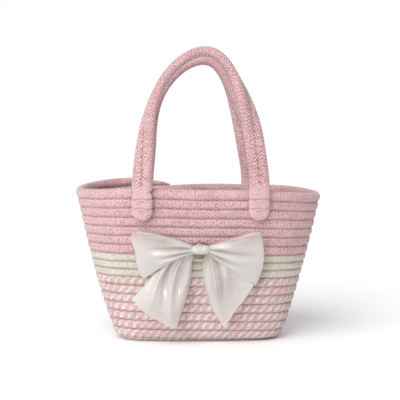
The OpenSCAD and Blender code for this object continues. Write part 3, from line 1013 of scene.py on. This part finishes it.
def satin(name):
    """White ribbon: glossy, some light passes through each layer of it, and its folds' hollows get
    painted shade.
    """
    surface = Surface(name)
    weave = surface.noise(1300, 2, 0.5, (1, 1, 0.3))
    colour = surface.mix(weave, RIBBON_DARK, RIBBON)
    # painted shade in the hollows of the folds, warmed by painted pink light from the rope behind
    colour = surface.cover(colour, surface.attribute("crease"), 0.5, RIBBON_CREASE_SHADE)
    surface.paint(colour)
    surface.set(Roughness=0.30, Specular_IOR_Level=0.6, Coat_Weight=0.8, Coat_Roughness=0.1)
    surface.bump(weave, 0.12, WEAVE_RELIEF)
    through = surface.node("ShaderNodeBsdfTranslucent")
    surface.link(colour, through.inputs["Color"])
    clear = surface.node("ShaderNodeBsdfTransparent")
    soft = surface.mix_shaders(SATIN_THROUGH, surface.shader.outputs[0], through.outputs[0])
    sheer = surface.chain(surface.attribute("sheer"), ("MULTIPLY", 0.7), ("ADD", 0.06))
    surface.link(surface.mix_shaders(sheer, soft, clear.outputs[0]), surface.output.inputs[0])
    return surface.material


def grid(name, points, sheer, crease):
    """A sheet from rows and columns of points: sheer is how much shows through it at each, and crease
    how deep the point lies in a fold, which sets how much painted shade it gets."""
    rows, columns = points.shape[:2]
    i, j = np.meshgrid(np.arange(rows - 1), np.arange(columns - 1), indexing="ij")
    quads = np.stack([i * columns + j, i * columns + j + 1, (i + 1) * columns + j + 1,
                      (i + 1) * columns + j], -1).reshape(-1, 4)
    u = np.stack([i, i, i + 1, i + 1], -1) / (rows - 1)
    v = np.stack([j, j + 1, j + 1, j], -1) / (columns - 1)
    values = {"sheer": np.broadcast_to(sheer, (rows, columns)), "crease": np.clip(crease, 0, 1)}
    return new_mesh(name, points.reshape(-1, 3), quads, np.stack([u, v], -1).reshape(-1, 2), values)


def on_bow(x, up, out):
    """A point of the bow: across, up the wall and out from it, measured from the knot's middle."""
    x, up, out = np.broadcast_arrays(x, up, out)
    return np.stack([
        KNOT[0] + x,
        KNOT[1] - out * math.cos(TILT) - (up + BOW_RISE) * math.sin(TILT),
        KNOT[2] - out * math.sin(TILT) + (up + BOW_RISE) * math.cos(TILT)], -1)


# Corners of each loop's front layer, across and up from the middle of the knot, in millimetres
LOOPS = {
    "left": {
        "root": [(-7.6, 4.6), (-7.6, -4.2)],
        "tip": [(-56, 18.2), (-64.2, 17.4), (-66.0, 11.5), (-61.8, -1), (-60.2, -15), (-57.8, -24),
                (-54.0, -29.3)],
        "bend": (2.2, 3.4),
        # fold: place at the knot and at the tip (0 top, 1 bottom), width, height, where it ends
        "folds": [(0.20, 0.22, 0.13, 2.6, 1.0), (0.43, 0.45, 0.075, -4.0, 0.85),
                  (0.60, 0.60, 0.080, 2.6, 0.80), (0.73, 0.71, 0.045, -3.0, 0.60),
                  (0.86, 0.86, 0.065, 2.8, 0.70), (0.04, 0.03, 0.04, -1.6, 0.9)],
    },
    "right": {
        "root": [(7.8, 4.6), (7.8, -4.4)],
        "tip": [(50, 17.3), (56.6, 17.2), (58.6, 7), (60.0, -7), (58.6, -20), (53.4, -35)],
        "bend": (0.6, -3.0),
        "folds": [(0.10, 0.13, 0.05, -2.2, 0.9), (0.28, 0.30, 0.12, 2.6, 1.0),
                  (0.47, 0.50, 0.065, -4.2, 1.0), (0.63, 0.66, 0.09, 3.0, 0.95),
                  (0.78, 0.80, 0.045, -2.4, 0.55), (0.90, 0.90, 0.06, 2.4, 0.7)],
    },
}

TAILS = {
    "left": {
        "inner": [(-5.5, -2), (-8.0, -14), (-8.8, -30), (-13.4, -50), (-18.4, -64), (-22.6, -77.6)],
        "outer": [(-8.5, -1), (-22, -7.5), (-34, -16), (-45, -25.5), (-53.6, -35.5), (-64.2, -47.4)],
        "bulge": (-2.6, -3.4),
        # swelling across the tail: height, middle and spread along it
        "swell": (6.5, 0.82, 0.20),
        "sheer": 0.08,
        "folds": [(0.90, 0.10, 0.08, 4.4, 1.1), (1.20, 0.30, 0.060, -3.5, 0.85),
                  (1.20, 0.60, 0.065, 3.4, 0.95), (0.12, 0.16, 0.10, 2.4, 1.0)],
    },
    "right": {
        "inner": [(5.0, -2), (2.6, -13), (1.4, -26), (4.0, -41), (10.6, -60), (22.8, -77.8)],
        "outer": [(8.5, -1), (18, -8.5), (28, -17), (38, -26), (44.4, -29.8), (50.4, -34)],
        "bulge": (0.0, 0.0),
        "swell": (6.5, 0.48, 0.19),
        "sheer": 0.17,
        "folds": [(0.70, 0.05, 0.10, 4.4, 0.95), (0.98, 0.22, 0.060, -3.2, 0.80),
                  (1.30, 0.30, 0.10, 2.2, 0.80), (0.08, 0.10, 0.08, 2.2, 1.0)],
    },
}

FINE_GATHERS = 6  # small pleats across the ribbon where the knot grips it
CREASE_DEPTH = 3.2  # depth of fold that gets the darkest painted shade
PUFF = 7.5  # how far a loop's front stands out from its middle


def smooth_line(points, count, width=9):
    """A smooth line through corner points, sampled evenly."""
    points = np.asarray(points, float)
    length = distance_along(points)
    line = at_distances(np.linspace(0, length[-1], count), length, points)
    kernel = np.hanning(width + 2)[1:-1]
    kernel /= kernel.sum()
    pad = width // 2
    start = 2 * line[0] - line[pad:0:-1]
    finish = 2 * line[-1] - line[-2:-pad - 2:-1]
    ends = np.concatenate([start, line, finish])
    return np.stack([np.convolve(column, kernel, "valid") for column in ends.T], 1)


def fold_relief(s, v, folds):
    """Height of the folds that fan out from the knot, s along the ribbon and v across it."""
    relief = 0 * s * v
    for root, tip, width, height, reach in folds:
        place = root * (1 - s) + tip * s
        grow = np.clip(s / 0.18, 0, 1) ** 0.7 * np.clip((reach - s) / (0.45 * reach), 0, 1) ** 0.8
        spread = width * (0.75 + 0.6 * s)
        off = np.abs(v - place) / spread
        shape = np.exp(-off**2) if height > 0 else np.exp(-off**1.5)
        relief = relief + height * grow * shape
    return relief


def gathers(s, v):
    """Fine pleats that die out a short way from the knot."""
    wave = np.cos(2 * math.pi * (FINE_GATHERS * v + 0.35 * np.sin(5 * v)))
    return 0.6 * np.exp(-((s / 0.2) ** 1.4)) * wave


def bow_loop(side):
    """A ribbon that leaves the knot, folds over at the far end and comes back behind itself."""
    shape = LOOPS[side]
    columns = 150
    v = np.linspace(0, 1, columns)[None]
    theta = np.linspace(0, math.pi, 170)[:, None]
    s = np.sin(theta)
    turn = np.cos(theta)
    root = smooth_line(shape["root"], columns, 3)[None]
    tip = smooth_line(shape["tip"], columns, 17)[None]
    flat = root * (1 - s)[..., None] + tip * s[..., None]
    top, low = shape["bend"]
    arch = 4 * s * (1 - s)
    flat[..., 1] += arch * (top * (1 - v) ** 2 + low * v**2)
    inset = np.clip(-turn, 0, 1) * arch * 1.2
    flat[..., 1] += inset * (v - 0.5) * 2
    open_up = 0.22 + 0.78 * smoothstep(s / 0.62)
    crown = 0.55 + 0.45 * np.sin(math.pi * v) ** 0.8
    body = PUFF * turn * open_up * crown
    front = np.clip(turn, 0, 1) ** 0.4
    rear = np.clip(-turn, 0, 1) ** 0.4
    relief = fold_relief(s, v, shape["folds"]) + gathers(s, v)
    out = body + relief * (front + 0.35 * rear) * 0.8
    points = on_bow(flat[..., 0] * MM, flat[..., 1] * MM, (out + 0.5) * MM)
    sheer = 0.85 * np.exp(-(((v - 0.15) / 0.13) ** 2)) * smoothstep((s - 0.2) / 0.3)
    return grid("bow_" + side + "_loop_ribbon", points, sheer, -relief / CREASE_DEPTH)


def bow_tail(side):
    """One layer of ribbon from behind the knot to a slanted end, rolled forward along its inner edge."""
    shape = TAILS[side]
    rows, columns = 110, 120
    inner = smooth_line(shape["inner"], rows, 25)[:, None]
    outer = smooth_line(shape["outer"], rows, 25)[:, None]
    v = np.linspace(0, 1, columns)[None]
    f = np.linspace(0, 1, rows)[:, None]
    flat = inner * (1 - v)[..., None] + outer * v[..., None]
    flat = flat + (4 * v * (1 - v) * f**2)[..., None] * np.array(shape["bulge"])
    curl = -3.5 * np.exp(-v / 0.05) * np.sin(math.pi * f) ** 0.6
    lip = -1.2 * np.exp(-(1 - v) / 0.04) * f
    relief = fold_relief(f, v, shape["folds"]) + 0.8 * gathers(f, v)
    wave = 1.2 * f * np.cos(2 * math.pi * 1.1 * v + 0.9)
    height, middle, spread = shape["swell"]
    swell = height * np.exp(-(((f - middle) / spread) ** 2))
    out = -3.0 + relief + curl + lip + wave + 9.0 * f + swell * np.sin(math.pi * v) ** 0.7
    points = on_bow(flat[..., 0] * MM, flat[..., 1] * MM, out * MM)
    return grid("bow_" + side + "_tail_ribbon", points, shape["sheer"], -relief / CREASE_DEPTH)


def bow_knot():
    """Ribbon wound round the middle; its gathers run over it from top to bottom."""
    rows, columns = 90, 72
    x = np.linspace(-1, 1, rows)[:, None]
    angle = 2 * math.pi * np.arange(columns)[None] / columns
    gather = 0.2 * np.cos(11 * x + 1.6 * np.sin(3 * x)) + 0.1 * np.cos(29 * x + 1)
    gather = gather + 0.05 * np.cos(9 * angle)
    shoulder = np.clip(1 - np.abs(x) ** 4.5, 0.03, 1) ** 0.5
    c, s = rounded(angle, 2.1)
    up = ((4.4 + 0.5 * x**2) + 0.3 * gather) * s * shoulder
    out = ((5.0 - 0.9 * x**2) + gather) * c * shoulder
    width = 0.5 * (KNOT_HIGH[0] - KNOT_LOW[0]) - 0.6 * MM
    points = on_bow(width * x + 0 * up, (up + 0.2) * MM, (out + 0.9) * MM)
    quads, _, _ = tube_faces(rows, columns, False)
    obj = new_mesh("bow_knot_ribbon", points.reshape(-1, 3), quads)
    close_ends(obj, rows, columns)
    return obj


def build_bow():
    cloth = satin("white_satin")
    made = {}
    for side in ("left", "right"):
        made["bow_" + side + "_loop"] = bow_loop(side)
        made["bow_" + side + "_tail"] = bow_tail(side)
    knot = made["bow_knot"] = bow_knot()
    for node_name, obj in made.items():
        dress(obj, cloth)
        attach(obj, "basket")
        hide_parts(node_name)
    plain("bow_tie_thread", thread_material("white_thread", THREAD_WHITE, THREAD_WHITE))


def build_snap():
    brass = metal("antique_brass", BRASS, BRASS_DARK, 0.3)
    nickel = metal("nickel", NICKEL, NICKEL_DARK, 0.2)
    for node_name in ("front_snap_cap", "back_snap_cap"):
        plain(node_name, brass)
    for node_name in ("front_snap_socket", "back_snap_stud"):
        plain(node_name, nickel)
    plain("snap_magnet", metal("magnet_black", MAGNET, MAGNET_DARK, 0.5))
    plain("tab_stitches", thread_material("tab_thread", PINK, CREAM))


# ---- Floor, light and camera ----


AMBIENT = 0.62
SUN = 2.4
SUN_SPREAD = math.radians(50)
SUN_FROM = (-0.40, -0.70, 0.70)
GLOSS = 2.8
GLOSS_SIZE = 0.16
GLOSS_FROM = (-0.50, -1.1, 0.20)
GLOSS_TO = (0, 0, 0.12)
LENS = 90
SENSOR = 36
EYE = (-0.024, -1.0, 0.1968)
LOOK_AT = (0.001, 0.0, 0.1378)
FLOOR_SIZE = 60


def place(name, data, spot, target):
    """Puts a lamp or a camera at a spot, facing the target."""
    obj = bpy.data.objects.new(name, data)
    bpy.context.scene.collection.objects.link(obj)
    obj.location = spot
    obj.rotation_euler = (Vector(target) - Vector(spot)).to_track_quat("-Z", "Y").to_euler()
    return obj


def floor():
    bpy.ops.mesh.primitive_plane_add(size=FLOOR_SIZE, location=(0, 0, 0))
    plane = bpy.context.object
    plane.name = "floor"
    surface = Surface("floor_paper")
    surface.paint(surface.mix(surface.noise(30, 2, 0.5), PAPER_DARK, PAPER))
    surface.set(Roughness=0.9)
    dress(plane, surface.material)


def studio():
    """A soft sun from the upper left, a smaller lamp for the ribbon's gloss, and pale surroundings."""
    world = bpy.data.worlds.new("studio")
    bpy.context.scene.world = world
    world.use_nodes = True
    nodes, links = world.node_tree.nodes, world.node_tree.links
    ambient = nodes["Background"]
    ambient.inputs[0].default_value = WHITE_LIGHT
    ambient.inputs[1].default_value = AMBIENT
    backdrop = nodes.new("ShaderNodeBackground")
    backdrop.inputs[0].default_value = WHITE_LIGHT
    pick = nodes.new("ShaderNodeMixShader")
    links.new(nodes.new("ShaderNodeLightPath").outputs["Is Camera Ray"], pick.inputs[0])
    links.new(ambient.outputs[0], pick.inputs[1])
    links.new(backdrop.outputs[0], pick.inputs[2])
    links.new(pick.outputs[0], nodes["World Output"].inputs[0])
    sun = bpy.data.lights.new("sun", "SUN")
    sun.energy = SUN
    sun.angle = SUN_SPREAD
    place("sun", sun, SUN_FROM, (0, 0, 0))
    gloss = bpy.data.lights.new("gloss", "AREA")
    gloss.size = GLOSS_SIZE
    gloss.energy = GLOSS
    place("gloss", gloss, GLOSS_FROM, GLOSS_TO)
    bpy.context.scene.view_settings.view_transform = "Standard"


def camera():
    data = bpy.data.cameras.new("camera")
    data.lens = LENS
    data.sensor_width = SENSOR
    bpy.context.scene.camera = place("camera", data, EYE, LOOK_AT)


build_wall()
build_handles()
build_bow()
build_snap()
floor()
studio()
camera()
